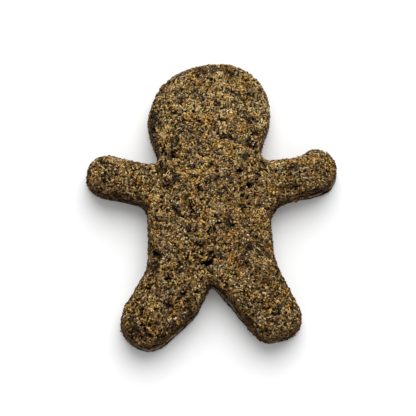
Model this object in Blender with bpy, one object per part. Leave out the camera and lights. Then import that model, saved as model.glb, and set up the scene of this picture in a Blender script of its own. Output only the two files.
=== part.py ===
"""A gingerbread man cookie, lying flat: one thick piece of coarse, hand-cut dough.

Metres, +Z up. The flat baked underside rests on z = 0, the head points along +Y,
and the box round the cookie is centred on x = y = 0.
"""

import math

import bmesh
import bpy
from mathutils import Vector, noise

MM = 0.001

# Overall size, in millimetres.
WIDTH = 65.0
LENGTH = 75.0
THICKNESS = 10.0

# The outline is a belt drawn tight round these discs, anticlockwise from the head.
# Each is (name, x, y, radius) in millimetres: a positive radius lies inside the
# dough, and a negative one is a hollow that the belt passes round from outside.
OUTLINE_DISCS = (
    ("brow", 2.0, 23.7, 13.4),
    ("crown", 0.7, 22.8, 14.2),
    ("left_cheek", -2.4, 21.9, 14.1),
    ("left_neck", -15.3, 12.0, -1.5),
    ("left_hand", -26.7, 7.3, 5.4),
    ("left_armpit", -19.4, -2.7, -2.9),
    ("left_hip", -28.3, -13.2, -12.1),
    ("left_foot", -15.7, -30.0, 7.4),
    ("left_calf", -8.1, -24.8, 5.8),
    ("crotch", 0.2, -22.1, -0.8),
    ("right_heel", 14.8, -30.5, 4.9),
    ("right_toe", 17.2, -29.1, 5.7),
    ("right_hip", 35.2, -8.6, -19.5),
    ("right_armpit", 20.2, -4.2, -4.8),
    ("right_palm", 27.1, 8.2, 5.5),
    ("right_thumb", 26.6, 9.0, 5.3),
    ("right_wrist", 19.2, 18.0, -6.2),
    ("right_neck", 15.1, 13.5, -2.1),
)

# The edge from the underside to the top face, as (inset from the outline, height).
# The dough pressed out under the cutter stands a little proud as a lip round the
# foot of the wall, and the shoulder rolls over into the top.
EDGE_PROFILE = (
    (0.7, 0.0),
    (0.15, 0.4),
    (0.0, 1.0),
    (0.1, 1.6),
    (0.3, 2.2),
    (0.35, 4.2),
    (0.4, 6.6),
    (0.85, 8.3),
    (1.8, 9.3),
    (3.6, 9.8),
)

# Places where the lip stands further out, as (name, x, y, reach).
LIP_SPOTS = (
    ("left_brow", -11.0, 32.0, 8.0),
    ("right_fist", 32.0, 4.0, 6.0),
    ("left_heel", -12.0, -37.0, 9.0),
    ("right_thigh", 4.0, -25.0, 4.0),
)
LIP_PROUD = 0.6  # how much further the wall stands back at such a place
LIP_FOOT = 1.2  # height where the wall starts to stand back
LIP_HEAD = 2.2  # height where it stands back in full

OUTLINE_STEP = 1.1  # distance between points along the outline
TOP_GRID = 2.6  # spacing of the grid that lets the top face undulate
CROWN_RISE = 0.5  # how far the top swells above the shoulder
CROWN_REACH = 8.0  # distance from the edge over which the swell builds up

SIDE_LUMP = 0.30  # greatest push of the side wall, out or in
SIDE_LUMP_SIZE = 5.0  # size of a lump on the side wall
TOP_LUMP = 0.35  # greatest push of the top face, up or down
TOP_LUMP_SIZE = 7.0  # size of a lump on the top face

CRUST_COLOUR = (0.130, 0.080, 0.036, 1.0)
CRUST_ROUGHNESS = 0.62


def clear_scene():
    """Takes away every object of the startup scene."""
    for old in list(bpy.data.objects):
        bpy.data.objects.remove(old, do_unlink=True)


def tangent_angle(first, second):
    """The direction, from both centres, of the belt's straight run between two discs."""
    _, x0, y0, r0 = first
    _, x1, y1, r1 = second
    dx = x1 - x0
    dy = y1 - y0
    reach = math.hypot(dx, dy)
    drop = r0 - r1
    run = math.sqrt(reach * reach - drop * drop)
    return math.atan2(dy, dx) - math.atan2(run, drop)


def arc_sweep(start, end, radius):
    """The angle turned through on a disc: anticlockwise inside, clockwise outside."""
    if radius > 0:
        return (end - start) % (2 * math.pi)
    return -((start - end) % (2 * math.pi))


def arc_points(disc, start, end):
    """(point, outward normal) pairs round the part of a disc that the belt touches."""
    _, x, y, radius = disc
    sweep = arc_sweep(start, end, radius)
    count = max(2, math.ceil(abs(sweep * radius) / OUTLINE_STEP))
    pairs = []
    for i in range(count + 1):
        angle = start + sweep * i / count
        normal = Vector((math.cos(angle), math.sin(angle), 0.0))
        pairs.append((Vector((x, y, 0.0)) + radius * normal, normal))
    return pairs


def outline():
    """The whole belt as (point, outward normal) pairs, anticlockwise."""
    discs = OUTLINE_DISCS
    count = len(discs)
    angles = [tangent_angle(discs[i], discs[(i + 1) % count]) for i in range(count)]
    arcs = [arc_points(discs[i], angles[i - 1], angles[i]) for i in range(count)]
    pairs = []
    for i, arc in enumerate(arcs):
        pairs.extend(arc)
        start, normal = arc[-1]
        end = arcs[(i + 1) % count][0][0]
        steps = round((end - start).length / OUTLINE_STEP)
        for j in range(1, steps):
            pairs.append((start.lerp(end, j / steps), normal))
    return pairs


def lump(point, size, salt):
    """Smooth noise between about -1 and 1, the same on every run."""
    return noise.noise(point / size + Vector((salt, 2.7 * salt, 5.1 * salt)))


def stand_back(point, height):
    """How far the wall stands back behind the lip at a point of the outline."""
    share = min(1.0, max(0.0, (height - LIP_FOOT) / (LIP_HEAD - LIP_FOOT)))
    near = [
        math.exp(-(((point.x - x) ** 2 + (point.y - y) ** 2) / reach**2))
        for _, x, y, reach in LIP_SPOTS
    ]
    return LIP_PROUD * share * max(near)


def add_ring(bm, pairs, inset, height):
    """One closed loop of the edge, pushed in and out by the side's lumps."""
    ring = []
    for point, normal in pairs:
        at = point - (inset + stand_back(point, height)) * normal
        at.z = height
        push = SIDE_LUMP * lump(at, SIDE_LUMP_SIZE, 3.0)
        ring.append(bm.verts.new(at + push * normal))
    return ring


def bridge(bm, lower, upper):
    """Quads between two loops of equal length."""
    count = len(lower)
    for i in range(count):
        j = (i + 1) % count
        bm.faces.new((lower[i], lower[j], upper[j], upper[i]))


def cut_grid(bm, faces):
    """Cuts the top face along a square grid."""
    parts = list(faces)
    for axis, half in ((Vector((1, 0, 0)), WIDTH / 2), (Vector((0, 1, 0)), LENGTH / 2)):
        lines = int(half / TOP_GRID)
        for i in range(-lines, lines + 1):
            geometry = set(parts)
            for face in parts:
                geometry.update(face.edges)
                geometry.update(face.verts)
            cut = bmesh.ops.bisect_plane(
                bm,
                geom=list(geometry),
                dist=0.02,
                plane_co=axis * (i * TOP_GRID),
                plane_no=axis,
            )
            parts = [part for part in cut["geom"] if isinstance(part, bmesh.types.BMFace)]
    return parts


def distance_to_edge(point, rim):
    """Distance in plan from a point to the nearest point of the top rim."""
    return min((point.xy - at).length for at in rim)


def raise_top(faces, rim):
    """Swells the top face towards its middle and gives it its lumps."""
    edge = [vert.co.xy.copy() for vert in rim]
    for vert in {vert for face in faces for vert in face.verts}:
        inward = min(1.0, distance_to_edge(vert.co, edge) / CROWN_REACH)
        swell = CROWN_RISE * math.sin(0.5 * math.pi * inward)
        ripple = TOP_LUMP * lump(vert.co, TOP_LUMP_SIZE, 9.0)
        vert.co.z += swell + ripple * min(1.0, 4.0 * inward)


def fit_to_size(bm):
    """Scales and shifts the body to the exact overall size, resting on z = 0."""
    low = [min(vert.co[k] for vert in bm.verts) for k in range(3)]
    high = [max(vert.co[k] for vert in bm.verts) for k in range(3)]
    target = (WIDTH, LENGTH, THICKNESS)
    base = (-WIDTH / 2, -LENGTH / 2, 0.0)
    for vert in bm.verts:
        for k in range(3):
            share = (vert.co[k] - low[k]) / (high[k] - low[k])
            vert.co[k] = (base[k] + share * target[k]) * MM


def crust_material():
    """Baked dough of one even brown."""
    material = bpy.data.materials.new("baked_dough")
    material.use_nodes = True
    shader = material.node_tree.nodes["Principled BSDF"]
    shader.inputs["Base Color"].default_value = CRUST_COLOUR
    shader.inputs["Roughness"].default_value = CRUST_ROUGHNESS
    material.diffuse_color = CRUST_COLOUR
    return material


def build_biscuit():
    """The cookie as one closed body."""
    bm = bmesh.new()
    pairs = outline()
    rings = [add_ring(bm, pairs, inset, height) for inset, height in EDGE_PROFILE]
    for lower, upper in zip(rings, rings[1:]):
        bridge(bm, lower, upper)
    bm.faces.new(tuple(reversed(rings[0])))
    top = bm.faces.new(rings[-1])
    raise_top(cut_grid(bm, [top]), rings[-1])
    fit_to_size(bm)
    bmesh.ops.triangulate(bm, faces=list(bm.faces))
    bmesh.ops.recalc_face_normals(bm, faces=list(bm.faces))
    mesh = bpy.data.meshes.new("biscuit")
    bm.to_mesh(mesh)
    bm.free()
    body = bpy.data.objects.new("biscuit", mesh)
    mesh.materials.append(crust_material())
    bpy.context.scene.collection.objects.link(body)
    return body


def main():
    """Clears the scene and builds the cookie."""
    clear_scene()
    build_biscuit()


main()
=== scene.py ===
"""A gingerbread man cookie of coarse, grainy dough, lying on a pale studio floor.

The crust is a finely meshed copy of the solid with its crumb pressed into the
surface, and the bran, rye and char grains are separate pieces bedded into it.
Sizes are in metres, except those of a Spot, with +Z up and the head along +Y.
"""

import logging
import math
from dataclasses import dataclass, field
from enum import Enum
from itertools import product

import bmesh
import bpy
import numpy as np
from mathutils import Matrix, Vector, noise


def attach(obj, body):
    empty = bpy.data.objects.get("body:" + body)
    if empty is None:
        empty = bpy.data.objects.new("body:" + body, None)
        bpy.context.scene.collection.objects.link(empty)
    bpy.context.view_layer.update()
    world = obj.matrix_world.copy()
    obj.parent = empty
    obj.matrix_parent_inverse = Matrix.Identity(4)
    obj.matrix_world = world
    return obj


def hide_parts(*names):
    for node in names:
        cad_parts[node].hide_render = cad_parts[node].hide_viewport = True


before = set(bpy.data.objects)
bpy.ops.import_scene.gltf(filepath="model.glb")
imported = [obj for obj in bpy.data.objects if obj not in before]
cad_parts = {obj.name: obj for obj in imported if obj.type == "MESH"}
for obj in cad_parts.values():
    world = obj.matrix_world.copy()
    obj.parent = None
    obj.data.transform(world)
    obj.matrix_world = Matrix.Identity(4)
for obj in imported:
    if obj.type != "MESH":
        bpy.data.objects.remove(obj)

LOG = logging.getLogger("cookie")
MM = 0.001
NODE = "biscuit"
BODY = "root"

Array = np.ndarray
Colour = tuple[float, float, float]
Span = tuple[float, float]
Socket = bpy.types.NodeSocket
Value = Socket | float | tuple[float, ...]


def linear(colour: Colour) -> Colour:
    """Turns a display colour into the linear values that a shader takes."""
    return tuple(
        c / 12.92 if c <= 0.04045 else ((c + 0.055) / 1.055) ** 2.4 for c in colour
    )


def smoothstep(low: float, high: float, value: Array) -> Array:
    """Blends from 0 to 1 as a value goes from low to high."""
    share = np.clip((value - low) / (high - low), 0.0, 1.0)
    return share * share * (3.0 - 2.0 * share)


def cloud(points: Array, size: float, salt: float) -> Array:
    """Smooth noise from about -1 to 1, the same for the same salt on every run."""
    shift = Vector((salt, 1.7 * salt, 3.1 * salt))
    return np.array([noise.noise(Vector(p) / size + shift) for p in points])


def bent(points: Array, size: float, reach: float, salt: float) -> Array:
    """Moves each point about a little, so that a shape read there looks uneven."""
    salts = (salt, salt + 1.0, salt + 2.0)
    return points + reach * np.stack([cloud(points, size, each) for each in salts], 1)


def cells(points: Array, size: float) -> Array:
    """Rounded cells packed side by side, as clumps of crumb are.

    Args:
        points: positions, one row each.
        size: the width of a cell.

    Returns:
        From 0 in a gap between cells to 1 on top of one.
    """
    relief = np.empty(len(points))
    for i, point in enumerate(points):
        near = noise.voronoi(Vector(point) / size)[0]
        relief[i] = min(1.0, 1.5 * (near[1] - near[0]))
    return relief


def band(away: Array, width: float) -> Array:
    """1 on a line, falling to 0 past a width away from it on either side."""
    return np.exp(-((away / width) ** 2))


@dataclass(frozen=True)
class Wave:
    """One layer of smooth noise.

    Attributes:
        size, swing: the width of its lumps, and how far it goes up and down.
        salt: a number that sets this noise apart from the others.
    """

    size: float
    swing: float
    salt: float

    def at(self, points: Array) -> Array:
        """The layer's value at each point."""
        return self.swing * cloud(points, self.size, self.salt)


def ripple(waves: tuple[Wave, ...], points: Array) -> Array:
    """The sum of some layers of noise at each point."""
    return sum(wave.at(points) for wave in waves)


class GrainForm(Enum):
    """The ways that a grain of the dough breaks."""

    KERNEL = "kernel"
    CHIP = "chip"
    FIBRE = "fibre"


class Tone(Enum):
    """The display colours that the dough's grains take on in the oven."""

    CHAR = (0.068, 0.046, 0.024)
    SOOT = (0.182, 0.158, 0.126)
    RYE = (0.292, 0.212, 0.114)
    BROWN = (0.450, 0.352, 0.212)
    OCHRE = (0.560, 0.448, 0.270)
    GOLD = (0.650, 0.528, 0.330)
    TAN = (0.735, 0.640, 0.460)
    PALE = (0.820, 0.740, 0.585)
    AMBER = (0.620, 0.410, 0.200)


@dataclass(frozen=True)
class Spot:
    """A round or long place on the cookie seen from above, in millimetres.

    Attributes:
        x, y: how far it lies to the right of the centre, and towards the head.
        long, wide: half its length and half its width.
        turn: the angle from +X to its length, in degrees.
        depth: how deep the dough sinks there.
    """

    x: float
    y: float
    long: float
    wide: float
    turn: float = 0.0
    depth: float = 0.0

    def share(self, points: Array) -> Array:
        """How far each point lies inside the spot.

        Args:
            points: positions in metres, one row each.

        Returns:
            1 in the spot's middle, falling to 0 past its rim.
        """
        dx = points[:, 0] / MM - self.x
        dy = points[:, 1] / MM - self.y
        c, s = math.cos(math.radians(self.turn)), math.sin(math.radians(self.turn))
        along = (c * dx + s * dy) / self.long
        across = (c * dy - s * dx) / self.wide
        return np.exp(-((along**2 + across**2) ** 1.5))


def inside(spots: tuple[Spot, ...], points: Array) -> Array:
    """How far each point lies inside the spot that holds it best."""
    return np.max([spot.share(points) for spot in spots], 0)


@dataclass(frozen=True)
class BakeAndShade:
    """The dough's colour from place to place, from the oven and the mixing bowl, with
    painted light and shade laid over it.

    Attributes:
        head_light, foot_light, wall_shade_light: brightness at the head and at the feet, a
            painted light gradient that is darker towards the feet, and the painted shade on
            the side walls.
        rise, reach: where the light changes from feet to head, and out to the hands.
        top: the upward share of a normal from the wall to the top face.
        arm_dark, stain_dark, shade_line_dark: how much darker these places are; the last is
            a painted shade line.
        patch_light: how much lighter a pale patch is.
        shade_line, shade_line_width: height and half width of a painted shade line just
            above the lip.
        shades: the clusters and patches that light and dark grains gather in.
        warmths, blush: the warm and cool patches, and the small reddish ones.
        stain_cool: how much cooler a stain is.
        golden, slate, ruddy: the tints of these patches, as linear factors.
        burn: how each channel falls as the dough darkens, from the oven or from the painted
            light and shade.
        meals, meal_rim: the patches of dark meal, and from where to where they blend.
        meal_share: how much dark meal such a patch has.
        stain_rim: from where to where the dark meal of a stain blends.
        stain_bend: the width of a bend in a stain's outline, and its reach.
        stain_fade: the heights between which a stain fades out down the wall.
        clefts, cleft_rim: the pores between the clumps, and how they blend.
        crowding: the areas that have more or fewer pores.
        pinhole: distance between one pinhole and the next.
        pinhole_rim: its radius at the bottom and the rim, as a share of that.
        stains, pale: the dark stains and the broad paler patches.
        bare: the places where the lip shows smooth.
    """

    head_light: float = 1.62
    foot_light: float = 1.09
    wall_shade_light: float = 0.42
    rise: Span = (-30.0 * MM, 36.0 * MM)
    reach: Span = (13.0 * MM, 27.0 * MM)
    top: Span = (0.10, 0.65)
    arm_dark: float = 0.14
    stain_dark: float = 0.45
    patch_light: float = 0.28
    shade_line_dark: float = 0.5
    shade_line: float = 3.0 * MM
    shade_line_width: float = 0.7 * MM
    shades: tuple[Wave, ...] = (
        Wave(1.75 * MM, 0.40, 21.0),
        Wave(4.5 * MM, 0.32, 22.0),
        Wave(10.8 * MM, 0.12, 23.0),
    )
    warmths: tuple[Wave, ...] = (Wave(1.2 * MM, 1.6, 41.0), Wave(3.4 * MM, 1.5, 42.0))
    stain_cool: float = 0.7
    blush: Wave = Wave(2.0 * MM, 1.0, 43.0)
    golden: Colour = (1.08, 0.96, 0.69)
    slate: Colour = (0.93, 0.98, 1.24)
    ruddy: Colour = (1.08, 0.85, 0.71)
    burn: Colour = (0.92, 1.04, 1.10)
    meals: tuple[Wave, ...] = (Wave(2.6 * MM, 1.0, 8.0), Wave(1.1 * MM, 0.7, 9.0))
    meal_rim: Span = (0.05, 0.55)
    meal_share: float = 0.75
    stain_rim: Span = (0.2, 0.75)
    stain_bend: Span = (1.6 * MM, 0.8 * MM)
    stain_fade: Span = (4.5 * MM, 8.0 * MM)
    clefts: tuple[Wave, ...] = (Wave(0.95 * MM, 1.0, 31.0), Wave(0.475 * MM, 0.6, 32.0))
    cleft_rim: Span = (0.42, 0.60)
    crowding: Wave = Wave(5.0 * MM, 0.20, 33.0)
    pinhole: float = 1.7 * MM
    pinhole_rim: Span = (0.13, 0.26)
    stains: tuple[Spot, ...] = (
        Spot(-14.9, 21.0, 4.4, 1.9, 84.0), Spot(-7.6, 26.4, 1.6, 1.0, 20.0),
        Spot(-2.6, 33.8, 2.4, 1.0), Spot(4.4, 33.4, 1.8, 0.9, -20.0),
        Spot(-7.0, 18.4, 1.5, 1.0), Spot(10.2, 21.0, 1.3, 0.9, 40.0),
        Spot(-10.6, 12.0, 1.6, 1.2), Spot(8.6, 12.0, 1.4, 1.0, 30.0),
        Spot(-15.0, 11.6, 1.3, 1.5), Spot(20.0, 8.4, 2.2, 0.8, 20.0),
        Spot(-10.7, -26.4, 1.6, 1.4), Spot(-17.5, -33.4, 2.2, 1.4, -20.0),
        Spot(-12.6, -35.4, 2.0, 1.2, 10.0), Spot(-9.6, -32.0, 1.3, 1.6),
        Spot(8.8, -30.0, 1.8, 1.3, -40.0), Spot(13.6, -33.0, 1.4, 1.0),
        Spot(-13.6, -13.6, 1.6, 1.2, -60.0), Spot(9.6, -11.6, 1.8, 1.0, 20.0),
        Spot(11.6, -17.4, 1.6, 1.0, -40.0), Spot(-5.0, -2.2, 3.2, 0.8, -67.0),
        Spot(-9.1, -2.4, 2.4, 0.8, -51.0), Spot(4.6, -5.6, 0.9, 1.6),
        Spot(1.4, 6.0, 1.6, 0.7, 30.0), Spot(-9.4, 5.6, 1.1, 0.9),
        Spot(-6.4, -6.8, 1.0, 0.8), Spot(0.8, 34.6, 2.4, 1.1),
        Spot(-12.0, 8.6, 2.2, 1.4), Spot(-11.6, 4.2, 1.6, 1.6),
        Spot(-4.6, 9.4, 2.0, 1.0, 20.0), Spot(9.4, 15.2, 1.6, 1.4),
        Spot(19.4, 3.8, 2.6, 1.0, 10.0), Spot(-14.2, -17.0, 1.4, 1.8),
        Spot(-5.4, -26.0, 1.4, 2.2, -40.0), Spot(-19.6, -33.0, 1.8, 1.8),
    )
    bare: tuple[Spot, ...] = (
        Spot(31.0, 4.0, 7.0, 5.0), Spot(-12.0, -34.0, 11.0, 6.0, 20.0),
        Spot(4.0, -25.0, 6.0, 4.0, -50.0),
    )
    pale: tuple[Spot, ...] = (
        Spot(2.5, 23.0, 7.0, 6.0), Spot(13.2, 21.5, 2.4, 4.5),
        Spot(5.0, 3.5, 5.0, 3.0, 20.0), Spot(-5.5, -9.5, 2.6, 6.0, 15.0),
        Spot(-15.5, -27.5, 3.0, 3.0), Spot(17.0, -28.0, 2.6, 2.4),
        Spot(5.0, -19.0, 4.0, 2.0, -30.0),
    )

    def light(self, points: Array, normals: Array) -> Array:
        """The brightness of the dough at each point, painted light and shade included.

        Args:
            points: positions, one row each.
            normals: the way out of the smooth crust at each point.

        Returns:
            A factor for the colour, around 1.
        """
        # Painted light: brighter towards the head, darker towards the feet.
        rise = smoothstep(*self.rise, points[:, 1])
        base = self.foot_light + (self.head_light - self.foot_light) * rise
        base *= 1.0 - self.stain_dark * self.stain(points)
        base *= 1.0 + self.patch_light * inside(self.pale, points)
        base *= 1.0 - self.arm_dark * smoothstep(*self.reach, np.abs(points[:, 0]))
        bare = inside(self.bare, points)
        # Painted shade: a dark line along the wall just above the lip.
        shade_line = (points[:, 2] - self.shade_line) / (self.shade_line_width * (1.0 + bare))
        base *= 1.0 - self.shade_line_dark * (1.0 + 0.5 * bare) * np.exp(-(shade_line**2))
        # Painted shade: the side walls, which face away from the light, are darker than the
        # top face.
        flat = smoothstep(*self.top, normals[:, 2])
        edge = self.wall_shade_light + (1.0 - self.wall_shade_light) * flat
        return base * edge * np.exp(ripple(self.shades, points))

    def tint(self, points: Array, normals: Array) -> Array:
        """What the dough's own colour is multiplied by at each point: the oven's colours,
        with the painted light and shade.

        Args:
            points: positions, one row each.
            normals: the way out of the smooth crust at each point.

        Returns:
            One row of linear red, green and blue factors for each point.
        """
        warm = ripple(self.warmths, points) - self.stain_cool * self.stain(points)
        warm = np.clip(warm, -1.0, 1.0)[:, None]
        golden, slate = np.log(self.golden), np.log(self.slate)
        hue = np.exp(np.maximum(warm, 0.0) * golden - np.minimum(warm, 0.0) * slate)
        hue *= np.array(self.ruddy) ** np.maximum(self.blush.at(points), 0.0)[:, None]
        return hue * self.light(points, normals)[:, None] ** np.array(self.burn)

    def stain(self, points: Array) -> Array:
        """How far each point lies in one of the placed stains of the top face."""
        high = smoothstep(*self.stain_fade, points[:, 2])
        return high * inside(self.stains, bent(points, *self.stain_bend, 51.0))

    def soot(self, points: Array) -> Array:
        """How much dark meal there is at each point, from 0 to 1."""
        meal = smoothstep(*self.meal_rim, ripple(self.meals, points))
        stained = smoothstep(*self.stain_rim, self.stain(points))
        return np.maximum(self.meal_share * meal, stained)

    def pores(self, points: Array) -> Array:
        """How far each point lies in a pore, from 0 to 1.

        Args:
            points: positions, one row each.

        Returns:
            1 at the bottom of a pinhole or a cleft, 0 outside them.
        """
        crowding = self.crowding.at(points)
        near = [noise.voronoi(Vector(point) / self.pinhole)[0][0] for point in points]
        holes = 1.0 - smoothstep(*self.pinhole_rim, np.array(near) - crowding)
        clefts = smoothstep(*self.cleft_rim, ripple(self.clefts, points) + crowding)
        return np.maximum(holes, clefts)


def put(name: str, data: bpy.types.ID) -> bpy.types.Object:
    """Puts a mesh, a lamp or a camera into the scene.

    Args:
        name: the new object's name.
        data: what it shows.

    Returns:
        The new object.
    """
    piece = bpy.data.objects.new(name, data)
    bpy.context.scene.collection.objects.link(piece)
    return piece


@dataclass
class Nodes:
    """A new material, and the means to add nodes to it.

    Attributes:
        name, specular: the material's name, and how much it shines all over.
        material, tree, shader: the material, its nodes and its one shader.
        place: the cookie's own coordinates, in metres.
    """

    name: str
    specular: float
    material: bpy.types.Material = field(init=False)
    tree: bpy.types.NodeTree = field(init=False)
    shader: bpy.types.Node = field(init=False)
    place: Socket = field(init=False)

    def __post_init__(self) -> None:
        """Makes the material with its shader and coordinates."""
        self.material = bpy.data.materials.new(self.name)
        self.material.use_nodes = True
        self.tree = self.material.node_tree
        self.shader = self.tree.nodes["Principled BSDF"]
        self.shader.inputs["Specular IOR Level"].default_value = self.specular
        self.place = self.add("ShaderNodeTexCoord", {}).outputs["Object"]

    def wire(self, node: bpy.types.Node, inputs: dict[str | int, Value]) -> bpy.types.Node:
        """Fills a node's inputs.

        Args:
            node: the node.
            inputs: a socket to link or a constant to set, for each input.

        Returns:
            The same node.
        """
        for key, value in inputs.items():
            if isinstance(value, Socket):
                self.tree.links.new(value, node.inputs[key])
            else:
                node.inputs[key].default_value = value
        return node

    def add(self, kind: str, inputs: dict[str | int, Value]) -> bpy.types.Node:
        """Adds a node and fills its inputs."""
        return self.wire(self.tree.nodes.new(kind), inputs)

    def sum(self, kind: str, operation: str, inputs: dict[str | int, Value]) -> Socket:
        """Adds a node that works something out.

        Args:
            kind: the node's type.
            operation: what it does.
            inputs: what fills its inputs.

        Returns:
            The result's socket.
        """
        node = self.tree.nodes.new(kind)
        node.operation = operation
        return self.wire(node, inputs).outputs[0]

    def line(self, value: Socket, factor: float, plus: Value) -> Socket:
        """Multiplies a value by a factor, then adds to it."""
        return self.sum("ShaderNodeMath", "MULTIPLY_ADD", {0: value, 1: factor, 2: plus})

    def product(self, first: Socket, second: Socket) -> Socket:
        """Multiplies two colours."""
        return self.sum("ShaderNodeVectorMath", "MULTIPLY", {0: first, 1: second})

    def scaled(self, colour: Socket, factor: Socket) -> Socket:
        """Multiplies a colour by a value."""
        return self.sum("ShaderNodeVectorMath", "SCALE", {0: colour, "Scale": factor})

    def noise(self, size: float) -> Socket:
        """Adds noise with lumps of a given size."""
        inputs = {"Vector": self.place, "Scale": 1.0 / size, "Detail": 2.0, "Roughness": 0.6}
        return self.add("ShaderNodeTexNoise", inputs).outputs["Fac"]

    def read(self, name: str, output: str = "Fac") -> Socket:
        """Reads one of the mesh's own attributes.

        Args:
            name: the attribute's name.
            output: "Fac" for a value or "Color" for a colour.

        Returns:
            The attribute's socket.
        """
        node = self.tree.nodes.new("ShaderNodeAttribute")
        node.attribute_name = name
        return node.outputs[output]

    def ramp(
        self, value: Socket, shares: tuple[float, ...], colours: tuple[Colour, ...]
    ) -> Socket:
        """Adds a colour ramp.

        Args:
            value: what it reads.
            shares: the place of each colour, from 0 to 1.
            colours: display colours, one for each place.

        Returns:
            The ramp's colour socket.
        """
        node = self.add("ShaderNodeValToRGB", {"Fac": value})
        stops = node.color_ramp.elements
        for share in shares[1:-1]:
            stops.new(share)
        for stop, share, colour in zip(stops, shares, colours):
            stop.position = share
            stop.color = (*linear(colour), 1.0)
        return node.outputs["Color"]

    def cover(self, under: Socket, name: str, colour: Colour) -> Socket:
        """Covers a colour with another where an attribute of the mesh says so.

        Args:
            under: the first colour.
            name: the attribute that says how much of the other shows.
            colour: the other, as a display colour.

        Returns:
            The mixed colour's socket.
        """
        node = self.tree.nodes.new("ShaderNodeMix")
        node.data_type = "RGBA"
        inputs = {0: self.read(name), 6: under, 7: (*linear(colour), 1.0)}
        return self.wire(node, inputs).outputs[2]

    def bump(self, height: Socket, relief: float, strength: float) -> Socket:
        """Adds fine relief, in which a height of 1 stands as tall as relief says."""
        inputs = {"Height": height, "Distance": relief, "Strength": strength}
        return self.add("ShaderNodeBump", inputs).outputs["Normal"]

    def feed(self, colour: Socket, rough: Socket, normal: Socket) -> bpy.types.Material:
        """Feeds the shader, and hands over the finished material."""
        self.wire(self.shader, {"Base Color": colour, "Roughness": rough, "Normal": normal})
        return self.material


@dataclass(frozen=True)
class CrustFinish:
    """The crumb between the grains: fine meal in many browns, with painted shade in the gaps
    between its bits.

    Attributes:
        name: the material's name.
        meal, shares: the browns of the meal, and the place of each on the scale.
        warmth: tints for the bits, from warm to cool.
        deep, pressed, ledge_highlight: the painted shade in pores, pits and the gap above
            the brow seam, the colour of the smooth dough of the lip, and a painted highlight
            along its top.
        specular, roughness, rough_swing: shine, dullness, and how that varies.
        bit, bend: the width of a bit of meal, and how far it is bent, in widths.
        fleck: the width of the flecks in a bit.
        dark_base: how far all bits are shifted to the dark end.
        fleck_swing, raised_light_swing, soot_swing: how much paler the flecks and the dark
        meal are, and how much painted light lifts the tops of the crumb and clumps.
        gap, gap_width: the light that the painted shade in a gap keeps, and its half width
            in bits.
        relief: how far a bit stands above its gaps.
    """

    name: str = "baked_crumb"
    meal: tuple[Colour, ...] = (
        (0.060, 0.040, 0.022),
        (0.190, 0.132, 0.074),
        (0.345, 0.265, 0.160),
        (0.450, 0.355, 0.218),
        (0.530, 0.425, 0.265),
        (0.610, 0.500, 0.325),
        (0.720, 0.610, 0.420),
        (0.850, 0.755, 0.570),
    )
    shares: tuple[float, ...] = (0.0, 0.10, 0.24, 0.42, 0.62, 0.80, 0.93, 1.0)
    warmth: tuple[Colour, ...] = ((1.0, 0.93, 0.84), (0.97, 0.97, 0.97), (0.92, 0.97, 1.0))
    deep: Colour = (0.020, 0.012, 0.005)
    pressed: Colour = (0.180, 0.130, 0.080)
    ledge_highlight: Colour = (0.660, 0.610, 0.530)
    specular: float = 0.01
    roughness: float = 0.49
    rough_swing: float = 0.35
    bit: float = 0.36 * MM
    bend: float = 1.3
    fleck: float = 0.1636 * MM
    dark_base: float = -0.40
    fleck_swing: float = 0.55
    raised_light_swing: float = 0.28
    soot_swing: float = -0.26
    gap: float = 0.08
    gap_width: float = 0.16
    relief: float = 0.10 * MM

    def bits(self, nodes: Nodes) -> tuple[Socket, Socket, Socket]:
        """Adds the pattern of meal bits, each bent out of shape a little.

        Args:
            nodes: the material that gets it.

        Returns:
            Two random values for each bit, and the closeness to its edge.
        """
        scale = 1.0 / self.bit
        inputs = {"Vector": nodes.place, "Scale": scale, "Detail": 1.0}
        bend = nodes.add("ShaderNodeTexNoise", inputs).outputs["Color"]
        inputs = {0: bend, 1: (self.bend * self.bit,) * 3, 2: nodes.place}
        inputs = {
            "Vector": nodes.sum("ShaderNodeVectorMath", "MULTIPLY_ADD", inputs),
            "Scale": scale,
        }
        cell = nodes.add("ShaderNodeTexVoronoi", inputs)
        edge = nodes.tree.nodes.new("ShaderNodeTexVoronoi")
        edge.feature = "DISTANCE_TO_EDGE"
        nodes.wire(edge, inputs)
        parts = nodes.add("ShaderNodeSeparateColor", {"Color": cell.outputs["Color"]})
        return parts.outputs[0], parts.outputs[1], edge.outputs["Distance"]

    def material(self) -> bpy.types.Material:
        """Builds the crumb's material.

        Returns:
            A material that reads the values that the crust notes on its mesh.
        """
        nodes = Nodes(self.name, self.specular)
        level, tint, edge = self.bits(nodes)
        fleck = nodes.noise(self.fleck)
        level = nodes.line(level, 1.0, self.dark_base)
        level = nodes.line(fleck, self.fleck_swing, level)
        # Painted light: the raised tops of the crumb and clumps are paler.
        level = nodes.line(nodes.read("raised_light"), self.raised_light_swing, level)
        level = nodes.line(nodes.read("soot"), self.soot_swing, level)
        meal = nodes.ramp(level, self.shares, self.meal)
        meal = nodes.product(meal, nodes.ramp(tint, (0.0, 0.5, 1.0), self.warmth))
        # Painted shade: the colour darkens towards the gaps between bits; the same value
        # also sets the bump.
        inputs = {"Value": edge, "From Max": self.gap_width, "To Min": self.gap}
        height = nodes.add("ShaderNodeMapRange", inputs).outputs["Result"]
        colour = nodes.scaled(meal, height)
        colour = nodes.cover(colour, "lip", self.pressed)
        # Painted highlight: a pale line on the upward-facing top of the lip.
        colour = nodes.cover(colour, "ledge_highlight", self.ledge_highlight)
        # Painted shade: the pits, pores and the gap above the brow seam turn near black.
        colour = nodes.cover(colour, "hollow", self.deep)
        colour = nodes.product(colour, nodes.read("tint", "Color"))
        rough = nodes.line(fleck, self.rough_swing, self.roughness)
        return nodes.feed(colour, rough, nodes.bump(height, self.relief, 0.7))


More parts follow.
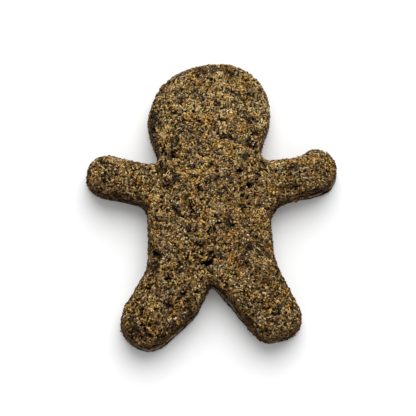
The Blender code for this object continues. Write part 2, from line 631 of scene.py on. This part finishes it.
@dataclass(frozen=True)
class GrainFinish:
    """The skin of a grain, in its own tone with a fine mottle.

    Attributes:
        name: the material's name.
        specular, roughness, rough_swing: shine, dullness, and how that varies.
        mottle, contrast: the width of its spots, and how dark and light they are.
        relief: how far they stand out.
    """

    name: str
    specular: float = 0.03
    roughness: float = 0.28
    rough_swing: float = 0.4
    mottle: float = 0.22 * MM
    contrast: Span = (0.45, 1.50)
    relief: float = 0.05 * MM

    def material(self) -> bpy.types.Material:
        """Builds the grains' material.

        Returns:
            A material that reads each grain's "tone" attribute.
        """
        nodes = Nodes(self.name, self.specular)
        mottle = nodes.noise(self.mottle)
        dark, light = self.contrast
        inputs = {"From Min": 0.3, "From Max": 0.7, "To Min": dark, "To Max": light}
        inputs["Value"] = mottle
        shade = nodes.add("ShaderNodeMapRange", inputs).outputs["Result"]
        skin = nodes.scaled(nodes.read("tone", "Color"), shade)
        rough = nodes.line(mottle, self.rough_swing, self.roughness)
        return nodes.feed(skin, rough, nodes.bump(mottle, self.relief, 0.5))


def rows(data: bpy.types.bpy_prop_collection, name: str) -> Array:
    """Reads three numbers from each item of a mesh's data.

    Args:
        data: the mesh's vertices or normals.
        name: what is read of each.

    Returns:
        One row for each item.
    """
    flat = np.empty(len(data) * 3, np.float32)
    data.foreach_get(name, flat)
    return flat.reshape(-1, 3).astype(np.float64)


def write_values(mesh: bpy.types.Mesh, name: str, values: Array) -> None:
    """Stores one number for each vertex of a mesh."""
    layer = mesh.attributes.new(name, "FLOAT", "POINT")
    layer.data.foreach_set("value", values.astype(np.float32))


def write_colours(mesh: bpy.types.Mesh, name: str, colours: Array) -> None:
    """Stores one linear colour for each vertex of a mesh."""
    full = np.concatenate([colours, np.ones((len(colours), 1))], 1).astype(np.float32)
    mesh.attributes.new(name, "FLOAT_COLOR", "POINT").data.foreach_set("color", full.ravel())


@dataclass
class Crust:
    """The body of the cookie: the solid's shape with crumb, pits and creases.

    Attributes:
        voxel, smoothing: the mesh's cell size, and its rounds of smoothing.
        crumb_size, crumb_height: the width and height of one cell of the crumb.
        clump_size, clump_height: the same for the clumps that it gathers in.
        clump_shift: how far the clumps' pattern lies off the crumb's.
        still: the height of a cell that stays on the solid's surface.
        pore_depth: how deep the pores between the clumps go.
        top_height, top_slope, under_slope: the heights and the slopes between
            which the pits begin, and the slopes where the crumb ends.
        lip_top, lip_fade: the height of the top of the lip round the foot of the
            wall, and how far below and above that it fades out.
        lip_calm: how much smoother the lip is.
        lip_breaks, lip_bare: where the lip is broken off, and how much less it is
            where it is bare.
        ledge_height, ledge_width: the height and half width of the painted highlight line on
            it.
        wander: how the highlight line and the seam wander up and down.
        brow, brow_height: the place at the head where the dough curls over in a
            thin seam, and the height of that seam.
        seam_width, seam_rise: the seam's half width, and how far it stands out.
        gap_rise, gap_depth: how far above it the gap lies, and how deep it is.
        pit_bend: the width of a bend in a pit's outline, and its reach.
        pit_rim: from where to where the painted shade of a pit blends.
        soot_show, lip_show, ledge_show: how much of each colour shows.
        pits: the holes and creases of the top face.
        bake_and_shade, finish: how the dough's colour and its painted light and shade
            wander, and its material.
        points, normals: where each vertex ends up, and its way out of the crust.
        hollow, lip: how far it lies in a hole, which is painted near black as shade, and how
            smooth its lip is.
        triangles: the vertices of each triangle.
    """

    voxel: float = 0.30 * MM
    smoothing: int = 6
    crumb_size: float = 0.9 * MM
    crumb_height: float = 0.22 * MM
    clump_size: float = 2.3 * MM
    clump_height: float = 0.32 * MM
    clump_shift: float = 0.3 * MM
    still: float = 0.7
    pore_depth: float = 0.45 * MM
    top_height: Span = (5.0 * MM, 7.0 * MM)
    top_slope: Span = (0.2, 0.7)
    under_slope: Span = (0.3, 0.8)
    lip_top: float = 1.9 * MM
    lip_fade: Span = (0.4 * MM, 0.5 * MM)
    lip_calm: float = 0.4
    lip_breaks: tuple[Wave, ...] = (Wave(6.0 * MM, 1.0, 61.0), Wave(1.4 * MM, 0.5, 62.0))
    lip_bare: float = 1.1
    ledge_height: float = 1.75 * MM
    ledge_width: float = 0.17 * MM
    wander: Wave = Wave(2.5 * MM, 0.3 * MM, 63.0)
    brow: Spot = Spot(-10.0, 32.0, 10.0, 5.0, 42.0)
    brow_height: float = 6.9 * MM
    seam_width: float = 0.35 * MM
    seam_rise: float = 0.45 * MM
    gap_rise: float = 1.1 * MM
    gap_depth: float = 0.5 * MM
    pit_bend: Span = (1.8 * MM, 0.9 * MM)
    pit_rim: Span = (0.15, 0.50)
    soot_show: float = 0.8
    lip_show: float = 0.55
    ledge_show: float = 0.85
    pits: tuple[Spot, ...] = (
        Spot(-1.5, -16.0, 1.3, 1.0, 8.0, 2.2), Spot(0.2, -15.0, 0.5, 0.4, 0.0, 0.9),
        Spot(-14.4, -13.4, 1.3, 0.45, -60.0, 1.0), Spot(-9.1, -2.2, 1.3, 0.2, -51.0, 0.3),
        Spot(-5.0, -2.0, 2.2, 0.2, -67.0, 0.3), Spot(-7.6, -4.6, 0.5, 0.35, -20.0, 0.8),
        Spot(3.1, 3.3, 0.6, 0.4, 0.0, 0.9), Spot(7.1, 7.7, 0.8, 0.5, 20.0, 1.1),
        Spot(9.7, 3.5, 0.6, 0.8, 0.0, 1.2), Spot(5.4, -6.2, 0.6, 0.45, 10.0, 1.0),
        Spot(-5.3, -7.0, 0.4, 0.5, 0.0, 1.0), Spot(1.7, -5.4, 0.5, 0.6, 0.0, 0.8),
        Spot(-7.1, -23.6, 0.7, 0.55, 20.0, 1.5), Spot(-3.6, -23.2, 0.8, 0.55, 20.0, 1.5),
        Spot(-16.2, -22.2, 0.8, 0.45, 10.0, 1.3), Spot(-13.8, -24.4, 0.5, 0.45, 0.0, 0.9),
        Spot(-10.9, -20.0, 0.6, 0.45, 20.0, 1.1), Spot(-7.2, 20.6, 0.5, 0.35, 60.0, 1.0),
        Spot(10.4, 17.8, 0.6, 0.4, 0.0, 1.0), Spot(-2.8, 11.8, 1.2, 0.4, -40.0, 0.9),
        Spot(0.2, 9.6, 0.7, 0.35, 70.0, 0.9), Spot(12.0, 13.4, 0.7, 0.4, 10.0, 1.0),
        Spot(2.8, -21.4, 1.2, 0.25, -55.0, 0.6), Spot(-15.2, 18.6, 0.9, 0.6, 60.0, 0.9),
        Spot(11.2, -32.6, 0.8, 0.6, -30.0, 1.0),
    )
    bake_and_shade: BakeAndShade = BakeAndShade()
    finish: CrustFinish = CrustFinish()
    points: Array = field(init=False)
    normals: Array = field(init=False)
    hollow: Array = field(init=False)
    lip: Array = field(init=False)
    triangles: Array = field(init=False)

    def merged_copy(self) -> bpy.types.Object:
        """A copy of the solid as one joined mesh.

        Returns:
            A new object that holds the copy.
        """
        bm = bmesh.new()
        bm.from_mesh(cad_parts[NODE].data)
        bmesh.ops.remove_doubles(bm, verts=bm.verts, dist=0.001 * MM)
        mesh = bpy.data.meshes.new("crust_start")
        bm.to_mesh(mesh)
        bm.free()
        return put("crust_start", mesh)

    def fine_mesh(self) -> bpy.types.Mesh:
        """The solid's shape in fine, even cells.

        Returns:
            A new mesh with no facets left in it.
        """
        start = self.merged_copy()
        remesh = start.modifiers.new("cells", "REMESH")
        remesh.mode = "VOXEL"
        remesh.voxel_size = self.voxel
        remesh.use_smooth_shade = True
        smooth = start.modifiers.new("smooth", "SMOOTH")
        smooth.factor = 0.5
        smooth.iterations = self.smoothing
        graph = bpy.context.evaluated_depsgraph_get()
        mesh = bpy.data.meshes.new_from_object(start.evaluated_get(graph))
        bpy.data.objects.remove(start)
        return mesh

    def pit_depth(self, top: Array) -> Array:
        """Notes where the pits and creases are.

        Args:
            top: 1 on the top face, 0 elsewhere.

        Returns:
            How deep each vertex sinks.
        """
        spread = bent(self.points, *self.pit_bend, 1.0)
        self.hollow = np.zeros(len(spread))
        sink = np.zeros(len(spread))
        for pit in self.pits:
            share = pit.share(spread) * top
            self.hollow = np.maximum(self.hollow, smoothstep(*self.pit_rim, share))
            sink = np.maximum(sink, share * pit.depth * MM)
        return sink

    def edge_marks(self) -> tuple[Array, ...]:
        """Works out where the lip, the painted highlight along it and the seam at the brow
        run.

        Returns:
            The shares of the whole lip, the painted highlight line, the seam and the gap
            above it at each vertex, from 0 to 1.
        """
        height = self.points[:, 2]
        low, high = self.lip_fade
        lip = 1.0 - smoothstep(self.lip_top - low, self.lip_top + high, height)
        bare = inside(self.bake_and_shade.bare, self.points)
        broken = ripple(self.lip_breaks, self.points) + (self.lip_bare * bare - 0.4)
        wander = self.wander.at(self.points)
        # Painted highlight: only where the lip faces upwards.
        ledge_highlight = band(height - self.ledge_height - wander, self.ledge_width)
        ledge_highlight *= smoothstep(0.10, 0.35, self.normals[:, 2]) * smoothstep(-0.3, 0.1, broken)
        brow = self.brow.share(self.points)
        seam = brow * band(height - self.brow_height - wander, self.seam_width)
        gap = brow * band(height - self.brow_height - self.gap_rise, self.seam_width)
        self.lip = np.maximum(lip * smoothstep(-0.35, 0.15, broken), 0.9 * seam)
        return lip, np.maximum(ledge_highlight, 0.4 * seam), seam, gap

    def shape(self, mesh: bpy.types.Mesh) -> None:
        """Presses clumps, crumb, pores and pits into the mesh and notes them.

        Args:
            mesh: the fine mesh, which is changed.
        """
        self.points = rows(mesh.vertices, "co")
        self.normals = rows(mesh.vertex_normals, "vector")
        points, up = self.points, self.normals[:, 2]
        top = smoothstep(*self.top_height, points[:, 2]) * smoothstep(*self.top_slope, up)
        sink = self.pit_depth(top)
        lip, ledge_highlight, seam, gap = self.edge_marks()
        free = (1.0 - smoothstep(*self.under_slope, -up)) * (1.0 - self.lip_calm * lip)
        crumb = cells(points, self.crumb_size)
        clump = cells(points + self.clump_shift, self.clump_size)
        pores = self.bake_and_shade.pores(points)
        tint = self.bake_and_shade.tint(points, self.normals)
        raised = self.crumb_height * (crumb - self.still)
        raised += self.clump_height * (clump - self.still)
        move = free * (raised - self.pore_depth * pores) - sink
        move += self.seam_rise * seam - self.gap_depth * gap
        self.points = points + self.normals * move[:, None]
        self.points[:, 2] = np.maximum(self.points[:, 2], 0.0)
        # The hollow share, with the pores and the gap above the seam, is painted as shade.
        self.hollow = np.max([self.hollow, pores * free, 0.8 * gap], 0)
        mesh.vertices.foreach_set("co", self.points.astype(np.float32).ravel())
        # The height of the crumb and clumps, which the shader reads as painted light on the
        # raised tops.
        write_values(mesh, "raised_light", 0.6 * crumb + 0.4 * clump)
        write_values(mesh, "soot", self.soot_show * self.bake_and_shade.soot(self.points))
        write_values(mesh, "lip", self.lip_show * self.lip)
        write_values(mesh, "ledge_highlight", self.ledge_show * ledge_highlight)
        write_values(mesh, "hollow", self.hollow)
        # The tint holds painted light and shade as well as the dough's own colour.
        write_colours(mesh, "tint", tint ** (1.0 - 0.5 * self.lip)[:, None])

    def build(self) -> bpy.types.Object:
        """Makes the crust and puts it in place of the plain solid.

        Returns:
            The finished piece.
        """
        mesh = self.fine_mesh()
        mesh.name = "crust"
        self.shape(mesh)
        mesh.calc_loop_triangles()
        corners = np.empty(len(mesh.loop_triangles) * 3, np.int32)
        mesh.loop_triangles.foreach_get("vertices", corners)
        self.triangles = corners.reshape(-1, 3)
        mesh.materials.clear()
        mesh.materials.append(self.finish.material())
        piece = put("crust", mesh)
        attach(piece, BODY)
        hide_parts(NODE)
        LOG.info("crust: %d triangles", len(self.triangles))
        return piece


@dataclass
class Sites:
    """Places on the crust where grains sit."""

    points: Array
    normals: Array

    def __len__(self) -> int:
        """How many places there are."""
        return len(self.points)

    def pick(self, chosen: Array) -> "Sites":
        """The places that an index or mask picks out."""
        return Sites(self.points[chosen], self.normals[chosen])


@dataclass
class Sower:
    """Finds evenly spread places on the crust.

    Attributes:
        crust: the crust that they lie on.
        spacing: the least distance between two places.
        tries: how many places are tried for each square millimetre.
        floor_gap: how high above the floor the lowest place lies.
        overhang: the lowest upward share of a normal where grains sit.
        hollow, smooth: how hollow and how smooth the crust may be there.
        seed: sets its chance apart from the others'.
    """

    crust: Crust
    spacing: float = 0.44 * MM
    tries: float = 10.0
    floor_gap: float = 0.55 * MM
    overhang: float = -0.35
    hollow: float = 0.22
    smooth: float = 0.35
    seed: int = 11

    def candidates(self, rng: np.random.Generator) -> Sites:
        """Random places on the top and sides, spread by area.

        Args:
            rng: the source of chance.

        Returns:
            The places, in random order.
        """
        crust = self.crust
        corners = crust.points[crust.triangles]
        cross = np.cross(corners[:, 1] - corners[:, 0], corners[:, 2] - corners[:, 0])
        area = 0.5 * np.linalg.norm(cross, axis=1)
        up = crust.normals[crust.triangles].mean(1)[:, 2]
        area[up < self.overhang] = 0.0
        count = int(self.tries * area.sum() / MM**2)
        chosen = rng.choice(len(area), count, p=area / area.sum())
        a, b = rng.random(count), rng.random(count)
        over = a + b > 1.0
        a[over], b[over] = 1.0 - a[over], 1.0 - b[over]
        weights = np.stack([1.0 - a - b, a, b], 1)
        ids = crust.triangles[chosen]
        points = (crust.points[ids] * weights[:, :, None]).sum(1)
        normals = (crust.normals[ids] * weights[:, :, None]).sum(1)
        normals /= np.linalg.norm(normals, axis=1)[:, None]
        hollow = (crust.hollow[ids] * weights).sum(1)
        smooth = (crust.lip[ids] * weights).sum(1)
        clear = (hollow < self.hollow) & (smooth < self.smooth)
        clear &= points[:, 2] > self.floor_gap
        return Sites(points[clear], normals[clear])

    def sow(self) -> Sites:
        """Thins the candidates until none is closer to another than the spacing.

        Returns:
            The places that are left.
        """
        rng = np.random.default_rng(self.seed)
        tried = self.candidates(rng)
        boxes = np.floor(tried.points / self.spacing).astype(int).tolist()
        around = list(product((-1, 0, 1), repeat=3))
        taken: dict[tuple[int, int, int], list[list[float]]] = {}
        kept = []
        for index, (place, (i, j, k)) in enumerate(zip(tried.points.tolist(), boxes)):
            near = [
                other for a, b, c in around for other in taken.get((i + a, j + b, k + c), ())
            ]
            if all(math.dist(place, other) >= self.spacing for other in near):
                taken.setdefault((i, j, k), []).append(place)
                kept.append(index)
        return tried.pick(np.array(kept))


@dataclass
class GrainBatch:
    """One kind of grain, bedded into the crust as one joined piece.

    Attributes:
        name, share: the piece's name, and how much of the places it takes.
        form: how its grains break.
        tones: the colours that they take on in the oven, with how common each is.
        length: the shortest and longest grain.
        width, height: least and most, as shares of length and of width.
        tilt: how far a grain leans off the surface, in degrees.
        bury: how deep its middle lies, as a share of its thickness.
        seed: sets its chance apart from the others'.
        variants: how many different grains are stamped.
        knock, bend: how far a corner is knocked and a fibre bends, in lengths.
        sooty, soot_light: how many grains turn dark in a full patch of dark meal,
            and how bright they are, least and most.
        swing, palest: how much the brightness varies, and its upper limit.
        bake_and_shade: how the dough's colour and its painted light and shade wander.
    """

    name: str
    share: float
    form: GrainForm
    tones: tuple[tuple[Tone, float], ...]
    length: Span
    width: Span
    height: Span
    tilt: float
    bury: float
    seed: int
    variants: int = 5
    knock: float = 0.11
    bend: float = 0.9
    sooty: float = 0.68
    soot_light: Span = (0.6, 1.7)
    swing: float = 0.24
    palest: float = 0.62
    bake_and_shade: BakeAndShade = BakeAndShade()

    def template(self, rng: np.random.Generator) -> tuple[Array, Array]:
        """One grain of unit length, a little different each time.

        Args:
            rng: the source of chance.

        Returns:
            Its vertices, one row each, and its triangles.
        """
        bm = bmesh.new()
        if self.form is GrainForm.KERNEL:
            bmesh.ops.create_icosphere(bm, subdivisions=1, radius=0.5)
        elif self.form is GrainForm.CHIP:
            bmesh.ops.create_cone(
                bm, cap_ends=True, segments=5, radius1=0.5, radius2=0.36, depth=0.8
            )
        else:
            self.spin_fibre(bm, rng)
        for vert in bm.verts:
            vert.co += Vector(rng.uniform(-self.knock, self.knock, 3))
        bmesh.ops.triangulate(bm, faces=bm.faces)
        bmesh.ops.recalc_face_normals(bm, faces=bm.faces)
        bm.verts.index_update()
        points = np.array([vert.co[:] for vert in bm.verts])
        faces = np.array([[vert.index for vert in face.verts] for face in bm.faces])
        bm.free()
        return points, faces

    def spin_fibre(self, bm: bmesh.types.BMesh, rng: np.random.Generator) -> None:
        """Makes a fibre of unit length along X, bent in an arc.

        Args:
            bm: the empty mesh that gets it.
            rng: the source of chance.
        """
        turn = Matrix.Rotation(math.radians(90.0), 4, "Y")
        bmesh.ops.create_cone(
            bm, cap_ends=True, segments=4, radius1=0.5, radius2=0.3, depth=1.0, matrix=turn
        )
        sides = [e for e in bm.edges if abs(e.verts[0].co.x - e.verts[1].co.x) > 0.5]
        bmesh.ops.subdivide_edges(bm, edges=sides, cuts=2)
        bend = rng.uniform(-self.bend, self.bend)
        for vert in bm.verts:
            vert.co.y += bend * (0.25 - vert.co.x**2)

    def frames(self, sites: Sites, rng: np.random.Generator) -> Array:
        """The three directions of each grain: along, across and out.

        Args:
            sites: where the grains sit.
            rng: the source of chance.

        Returns:
            One 3 by 3 matrix for each grain, with a direction in each row.
        """
        count = len(sites)
        lean = math.tan(math.radians(self.tilt))
        out = sites.normals + lean * rng.normal(0.0, 0.5, (count, 3))
        out /= np.linalg.norm(out, axis=1)[:, None]
        along = np.cross(out, rng.normal(0.0, 1.0, (count, 3)))
        along /= np.linalg.norm(along, axis=1)[:, None]
        return np.stack([along, np.cross(out, along), out], 1)

    def colours(self, sites: Sites, rng: np.random.Generator) -> Array:
        """The colour of each grain.

        Args:
            sites: where the grains sit.
            rng: the source of chance.

        Returns:
            One row of linear red, green and blue for each grain.
        """
        weights = np.array([weight for _, weight in self.tones])
        table = np.array([linear(tone.value) for tone, _ in self.tones])
        chosen = rng.choice(len(table), len(sites), p=weights / weights.sum())
        colour = table[chosen]
        dark = np.array(linear(Tone.SOOT.value))
        chance = self.sooty * self.bake_and_shade.soot(sites.points)
        sooty = (rng.random(len(sites)) < chance)[:, None]
        dark = dark * rng.uniform(*self.soot_light, (len(sites), 1))
        colour = np.where(sooty, dark, colour)
        bright = np.exp(rng.normal(0.0, self.swing, len(sites)))
        # The grains take the same painted light and shade as the crust.
        colour = colour * self.bake_and_shade.tint(sites.points, sites.normals) * bright[:, None]
        return colour * np.minimum(1.0, self.palest / colour.max(1))[:, None]

    def build(self, sites: Sites) -> bpy.types.Object:
        """Stamps the grains into one joined mesh and dresses it.

        Args:
            sites: where the grains sit.

        Returns:
            The finished piece.
        """
        rng = np.random.default_rng(self.seed)
        axes = self.frames(sites, rng)
        colour = self.colours(sites, rng)
        count = len(sites)
        low, high = self.length
        length = low + (high - low) * rng.random(count) ** 1.4
        width = length * rng.uniform(*self.width, count)
        height = width * rng.uniform(*self.height, count)
        size = np.stack([length, width, height], 1)
        middle = sites.points - axes[:, 2] * (self.bury * height)[:, None]
        dip = middle[:, 2] - 0.5 * length
        middle[:, 2] -= np.minimum(dip, 0.0)
        kind = rng.integers(0, self.variants, count)
        points, faces, tones, base = [], [], [], 0
        for variant in range(self.variants):
            mine = np.flatnonzero(kind == variant)
            shape, triangles = self.template(rng)
            local = shape[None, :, :] * size[mine][:, None, :]
            world = np.einsum("nki,nij->nkj", local, axes[mine]) + middle[mine][:, None, :]
            starts = base + np.arange(len(mine)) * len(shape)
            points.append(world.reshape(-1, 3))
            faces.append((triangles[None, :, :] + starts[:, None, None]).reshape(-1, 3))
            tones.append(np.repeat(colour[mine], len(shape), axis=0))
            base += len(mine) * len(shape)
        return self.dress(*map(np.concatenate, (points, faces, tones)))

    def dress(
        self, points: Array, faces: Array, tones: Array
    ) -> bpy.types.Object:
        """Turns the stamped grains into a piece with its finish.

        Args:
            points: every grain's vertices.
            faces: every grain's triangles.
            tones: a colour for each vertex.

        Returns:
            The finished piece.
        """
        mesh = bpy.data.meshes.new(self.name)
        mesh.from_pydata(points.tolist(), [], faces.tolist())
        write_colours(mesh, "tone", tones)
        mesh.shade_smooth()
        mesh.materials.append(GrainFinish(self.name).material())
        piece = put(self.name, mesh)
        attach(piece, BODY)
        LOG.info("%s: %d triangles", self.name, len(faces))
        return piece


@dataclass
class Crumb:
    """All the grains of the dough, shared out over the crust.

    Attributes:
        crust: the crust that they are bedded in.
        seed: sets the sharing out apart from other chance.
        batches: the kinds of grain.
    """

    crust: Crust
    seed: int = 23
    batches: tuple[GrainBatch, ...] = (
        GrainBatch(
            name="bran_kernels",
            share=0.28,
            form=GrainForm.KERNEL,
            tones=((Tone.BROWN, 4.0), (Tone.OCHRE, 5.0), (Tone.GOLD, 3.0), (Tone.TAN, 0.8)),
            length=(0.50 * MM, 1.20 * MM),
            width=(0.4, 0.75),
            height=(0.5, 0.9),
            tilt=24.0,
            bury=0.18,
            seed=101,
        ),
        GrainBatch(
            name="bran_chips",
            share=0.26,
            form=GrainForm.CHIP,
            tones=(
                (Tone.RYE, 2.0),
                (Tone.BROWN, 4.0),
                (Tone.OCHRE, 4.0),
                (Tone.GOLD, 2.0),
                (Tone.AMBER, 0.12),
            ),
            length=(0.45 * MM, 1.0 * MM),
            width=(0.55, 0.95),
            height=(0.4, 0.8),
            tilt=38.0,
            bury=0.15,
            seed=102,
        ),
        GrainBatch(
            name="pale_flakes",
            share=0.09,
            form=GrainForm.CHIP,
            tones=((Tone.TAN, 4.0), (Tone.PALE, 2.0), (Tone.GOLD, 2.0)),
            length=(0.35 * MM, 0.9 * MM),
            width=(0.45, 0.9),
            height=(0.3, 0.6),
            tilt=35.0,
            bury=0.05,
            seed=103,
        ),
        GrainBatch(
            name="rye_kernels",
            share=0.18,
            form=GrainForm.KERNEL,
            tones=((Tone.RYE, 3.0), (Tone.CHAR, 3.5), (Tone.SOOT, 3.0)),
            length=(0.5 * MM, 1.2 * MM),
            width=(0.5, 0.9),
            height=(0.4, 0.7),
            tilt=25.0,
            bury=0.25,
            seed=104,
        ),
        GrainBatch(
            name="husk_fibres",
            share=0.24,
            form=GrainForm.FIBRE,
            tones=((Tone.OCHRE, 2.0), (Tone.GOLD, 4.0), (Tone.TAN, 3.0), (Tone.BROWN, 1.0)),
            length=(0.6 * MM, 1.35 * MM),
            width=(0.20, 0.34),
            height=(0.6, 1.0),
            tilt=20.0,
            bury=-0.1,
            seed=105,
        ),
    )

    def build(self) -> list[bpy.types.Object]:
        """Sows the crust and beds each kind of grain into its share of the places.

        Returns:
            The finished pieces.
        """
        sites = Sower(self.crust).sow()
        LOG.info("grains: %d", len(sites))
        rng = np.random.default_rng(self.seed)
        shares = np.array([batch.share for batch in self.batches])
        kind = rng.choice(len(shares), len(sites), p=shares / shares.sum())
        return [
            batch.build(sites.pick(np.flatnonzero(kind == i)))
            for i, batch in enumerate(self.batches)
        ]


@dataclass
class Studio:
    """A white floor, soft lights and the camera.

    Attributes:
        elevation: how far above the floor the camera looks from, in degrees.
        lens, sensor: its focal length and sensor width, in millimetres.
        view_width, target: the width that it takes in, and the view's middle.
        clip: the nearest and farthest that it sees.
        floor_size, floor_colour: the floor's width and display colour.
        sky: the strength of the light from all round.
        key_strength, key_spread: the strength of the key light, and the angle
            that it comes from, which softens its shadows.
        key_place: where it stands, shining at the cookie.
    """

    elevation: float = 78.0
    lens: float = 150.0
    view_width: float = 105.8 * MM
    target: tuple[float, float, float] = (-0.95 * MM, -1.2 * MM, 6.0 * MM)
    sensor: float = 36.0
    clip: Span = (0.01, 20.0)
    floor_size: float = 6.0
    floor_colour: Colour = (0.955, 0.955, 0.955)
    sky: float = 0.54
    key_strength: float = 3.0
    key_spread: float = 56.0
    key_place: tuple[float, float, float] = (0.05, 0.31, 0.35)

    def floor(self) -> None:
        """Lays the floor."""
        bm = bmesh.new()
        bmesh.ops.create_grid(bm, x_segments=1, y_segments=1, size=self.floor_size / 2)
        mesh = bpy.data.meshes.new("floor")
        bm.to_mesh(mesh)
        bm.free()
        nodes = Nodes("floor", 0.1)
        colour = (*linear(self.floor_colour), 1.0)
        nodes.wire(nodes.shader, {"Base Color": colour, "Roughness": 0.9})
        mesh.materials.append(nodes.material)
        put("floor", mesh)

    def lights(self) -> None:
        """Sets the sky and the key light."""
        world = bpy.data.worlds.new("studio")
        world.use_nodes = True
        nodes = world.node_tree.nodes
        links = world.node_tree.links
        sky = nodes["Background"]
        sky.inputs["Color"].default_value = (1.0, 1.0, 1.0, 1.0)
        sky.inputs["Strength"].default_value = self.sky
        backdrop = nodes.new("ShaderNodeBackground")
        backdrop.inputs["Color"].default_value = (1.0, 1.0, 1.0, 1.0)
        seen = nodes.new("ShaderNodeLightPath").outputs["Is Camera Ray"]
        both = nodes.new("ShaderNodeMixShader")
        links.new(seen, both.inputs[0])
        links.new(sky.outputs[0], both.inputs[1])
        links.new(backdrop.outputs[0], both.inputs[2])
        links.new(both.outputs[0], nodes["World Output"].inputs["Surface"])
        bpy.context.scene.world = world
        key = bpy.data.lights.new("key", "SUN")
        key.angle = math.radians(self.key_spread)
        key.energy = self.key_strength
        lamp = put("key", key)
        lamp.location = self.key_place
        lamp.rotation_euler = (-Vector(self.key_place)).to_track_quat("-Z", "Y").to_euler()

    def camera(self) -> None:
        """Sets the camera."""
        data = bpy.data.cameras.new("camera")
        data.lens = self.lens
        data.sensor_width = self.sensor
        data.clip_start, data.clip_end = self.clip
        camera = put("camera", data)
        tilt = math.radians(self.elevation)
        back = Vector((0.0, -math.cos(tilt), math.sin(tilt)))
        distance = self.view_width / self.sensor * self.lens
        camera.location = Vector(self.target) + back * distance
        camera.rotation_euler = (-back).to_track_quat("-Z", "Y").to_euler()
        bpy.context.scene.camera = camera

    def build(self) -> None:
        """Sets up the whole studio."""
        self.floor()
        self.lights()
        self.camera()
        bpy.context.scene.view_settings.view_transform = "Standard"
        LOG.info("studio: floor, sky, key light and camera")


def main() -> None:
    """Builds the cookie and the studio, and logs their triangle and grain counts."""
    logging.basicConfig(level=logging.INFO, format="%(message)s")
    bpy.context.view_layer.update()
    crust = Crust()
    crust.build()
    Crumb(crust).build()
    Studio().build()
    bpy.context.view_layer.update()


if __name__ == "__main__":
    main()
